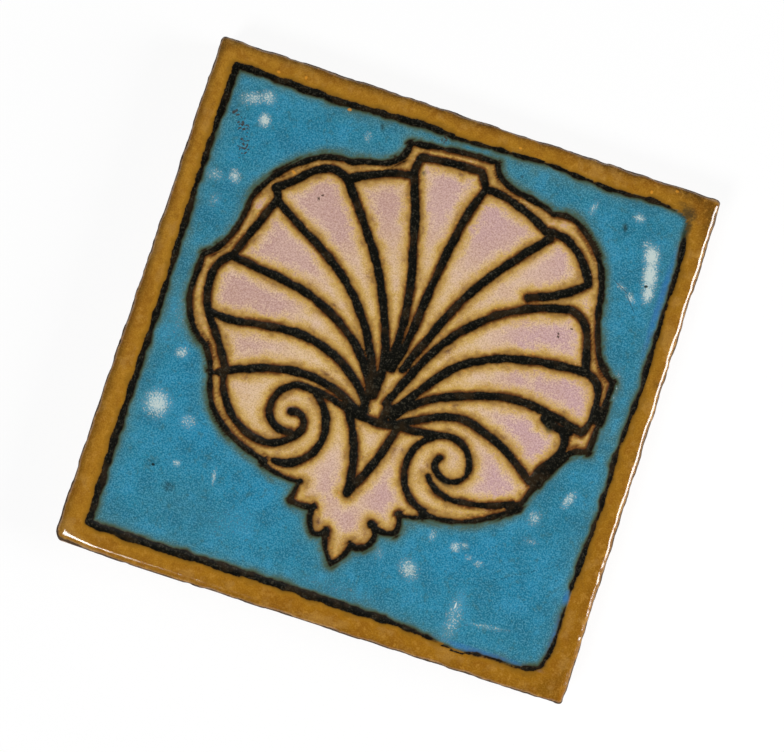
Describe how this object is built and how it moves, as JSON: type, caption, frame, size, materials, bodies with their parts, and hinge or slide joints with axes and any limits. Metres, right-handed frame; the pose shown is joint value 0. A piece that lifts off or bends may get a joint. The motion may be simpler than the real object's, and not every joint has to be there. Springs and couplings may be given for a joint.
{
  "type": "wall tile",
  "caption": "Square glazed ceramic wall tile with a scallop shell drawn in recessed dry lines, framed by an ochre border, for setting into a pool or wall surround.",
  "frame": {"origin": "middle of the back, in the plane of the bedding face", "axes": "+X to the right of the drawing, +Y to the top of the shell's fan, +Z out of the glazed face"},
  "size_m": [0.1524, 0.1524, 0.0127],
  "materials": {
    "glaze": "gloss"
  },
  "bodies": {
    "root": {"wall_tile": "glaze"}
  },
  "joints": []
}
